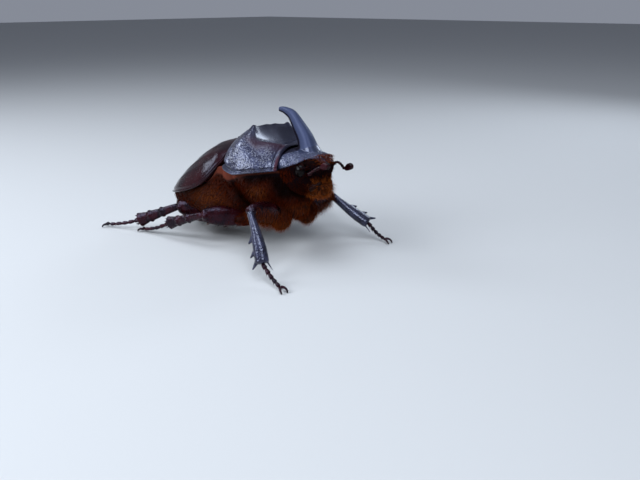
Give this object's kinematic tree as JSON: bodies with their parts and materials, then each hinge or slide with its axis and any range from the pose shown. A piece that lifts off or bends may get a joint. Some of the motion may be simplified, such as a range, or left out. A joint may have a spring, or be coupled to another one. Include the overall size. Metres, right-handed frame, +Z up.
{
  "type": "rhinoceros beetle",
  "caption": "Male rhinoceros beetle, life size, standing on its feet with its front raised: curved head horn, hollowed toothed neck shield, domed wing cases and spiny digging legs.",
  "frame": {"origin": "on the floor under the middle of the overall box", "axes": "+X the way the beetle faces, +Y its left side, +Z up from the floor it stands on"},
  "size_m": [0.0448, 0.0376, 0.0224],
  "materials": {
    "shell": "glossy near-black brown shell with a cool sheen, pitted and wrinkled in places",
    "elytra": "glossy dark chestnut, finely punctured in rows",
    "horn": "smooth, satin near-black",
    "underside": "red-brown plates, mostly under hair",
    "leg": "glossy dark red-brown",
    "shank": "satin black-brown, ridged",
    "mouth": "dark red-brown",
    "eye": "polished black with fine facets",
    "hair": "soft rufous to golden bristles"
  },
  "bodies": {
    "root": {"pronotum": "shell", "scutellum": "elytra", "prothorax": "underside", "hind_thorax": "underside", "abdomen": "underside", "pygidium": "underside", "head": "shell", "horn": "horn", "mouthparts": "mouth", "elytron_left": "elytra", "eye_left": "eye", "mandible_left": "shell", "antenna_left": "mouth", "elytron_right": "elytra", "eye_right": "eye", "mandible_right": "shell", "antenna_right": "mouth", "coxa_fore_left": "underside", "femur_fore_left": "leg", "tibia_fore_left": "shank", "tarsus_fore_left": "leg", "claws_fore_left": "shank", "coxa_fore_right": "underside", "femur_fore_right": "leg", "tibia_fore_right": "shank", "tarsus_fore_right": "leg", "claws_fore_right": "shank", "coxa_middle_left": "underside", "femur_middle_left": "leg", "tibia_middle_left": "shank", "tarsus_middle_left": "leg", "claws_middle_left": "shank", "coxa_middle_right": "underside", "femur_middle_right": "leg", "tibia_middle_right": "shank", "tarsus_middle_right": "leg", "claws_middle_right": "shank", "coxa_hind_left": "underside", "femur_hind_left": "leg", "tibia_hind_left": "shank", "tarsus_hind_left": "leg", "claws_hind_left": "shank", "coxa_hind_right": "underside", "femur_hind_right": "leg", "tibia_hind_right": "shank", "tarsus_hind_right": "leg", "claws_hind_right": "shank"}
  },
  "joints": []
}
